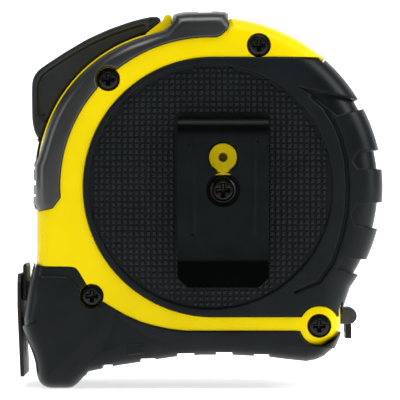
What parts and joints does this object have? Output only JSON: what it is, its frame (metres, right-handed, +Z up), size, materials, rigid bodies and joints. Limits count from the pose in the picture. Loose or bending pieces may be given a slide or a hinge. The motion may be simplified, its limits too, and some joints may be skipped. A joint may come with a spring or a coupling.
{
  "type": "tape measure",
  "caption": "Pocket tape measure with rubber-gripped yellow case, sprung reel and blade, end hook, thumb lock lever and steel belt clip.",
  "frame": {"origin": "centre of the bounding box on the ground plane, under the flat of the nose foot", "axes": "+Z up as held, +X from the hook end to the rear grip, -Y the belt clip's side"},
  "size_m": [0.0812, 0.0486, 0.0837],
  "materials": {
    "case_yellow": "moulded ABS, fine satin gloss",
    "black_rubber": "matte overmoulded rubber",
    "grey_rubber": "smooth satin overmould",
    "black_plastic": "satin moulded plastic",
    "lever_plastic": "satin moulded nylon",
    "inner_plastic": "moulded acetal",
    "black_steel": "black oxide, oiled",
    "clip_steel": "black satin lacquer",
    "hook_steel": "black phosphate",
    "bright_steel": "plain bright steel",
    "spring_steel": "blued spring steel",
    "blade": "yellow lacquered spring steel, black scale"
  },
  "bodies": {
    "case": {"case_shell_back": "case_yellow", "case_shell_front": "case_yellow", "rear_grip_back": "black_rubber", "rear_grip_front": "black_rubber", "nose_bumper_back": "black_rubber", "nose_bumper_front": "black_rubber", "top_grip_back": "grey_rubber", "top_grip_front": "grey_rubber", "front_label_disc": "black_plastic", "centre_post": "inner_plastic", "power_spring": "spring_steel", "side_washer_back": "inner_plastic", "side_washer_front": "inner_plastic", "blade_guide": "black_plastic", "hook_stop_pad": "black_rubber", "case_screw_1": "black_steel", "case_screw_2": "black_steel", "case_screw_3": "black_steel", "case_screw_4": "black_steel", "belt_clip_base": "clip_steel", "clip_screw": "black_steel", "lock_spring": "spring_steel", "strap_pin": "black_steel"},
    "reel": {"reel_drum": "inner_plastic", "reel_cover": "inner_plastic", "blade_coil": "blade"},
    "blade_inner": {"blade_section_1": "blade"},
    "blade_middle": {"blade_section_2": "blade"},
    "blade_tip": {"blade_section_3": "blade", "hook_rivet_1": "bright_steel", "hook_rivet_2": "bright_steel", "hook_rivet_3": "bright_steel"},
    "hook": {"end_hook": "hook_steel", "hook_back_plate": "hook_steel"},
    "lock": {"lock_lever": "lever_plastic", "brake_pad": "black_rubber"},
    "clip": {"belt_clip_tongue": "clip_steel"},
    "strap": {"strap_bail": "black_steel"}
  },
  "joints": [
    {"name": "reel_spin", "type": "hinge", "parent": "case", "child": "reel", "pos_m": [0.0051, 0.00405, 0.0439], "axis": [0, 1, 0], "range_deg": [0, 161.6], "stiffness_Nm_per_rad": 0.01, "springref_deg": -114.59},
    {"name": "blade_slide_inner", "type": "slide", "parent": "case", "child": "blade_inner", "axis": [-1, 0, 0], "range_m": [0, 0.027]},
    {"name": "blade_slide_middle", "type": "slide", "parent": "blade_inner", "child": "blade_middle", "axis": [-1, 0, 0], "range_m": [0, 0.027]},
    {"name": "blade_slide_tip", "type": "slide", "parent": "blade_middle", "child": "blade_tip", "axis": [-1, 0, 0], "range_m": [0, 0.027]},
    {"name": "hook_float", "type": "slide", "parent": "blade_tip", "child": "hook", "axis": [-1, 0, 0], "range_m": [0, 0.0008]},
    {"name": "lock_lever_slide", "type": "hinge", "parent": "case", "child": "lock", "pos_m": [-0.00335, 0.00405, 0.04694], "axis": [0, -1, 0], "range_deg": [0, 8]},
    {"name": "clip_flex", "type": "hinge", "parent": "case", "child": "clip", "pos_m": [0.0051, -0.01875, 0.0595], "axis": [-1, 0, 0], "range_deg": [0, 8], "stiffness_Nm_per_rad": 0.5},
    {"name": "strap_swing", "type": "hinge", "parent": "case", "child": "strap", "pos_m": [0.0334, 0.00405, 0.0157], "axis": [0, -1, 0], "range_deg": [0, 100]}
  ],
  "couplings": [
    {"joint": "blade_slide_inner", "follows": "reel_spin", "m_per_rad": 0.0095667},
    {"joint": "blade_slide_middle", "follows": "reel_spin", "m_per_rad": 0.0095667},
    {"joint": "blade_slide_tip", "follows": "reel_spin", "m_per_rad": 0.0095667}
  ]
}
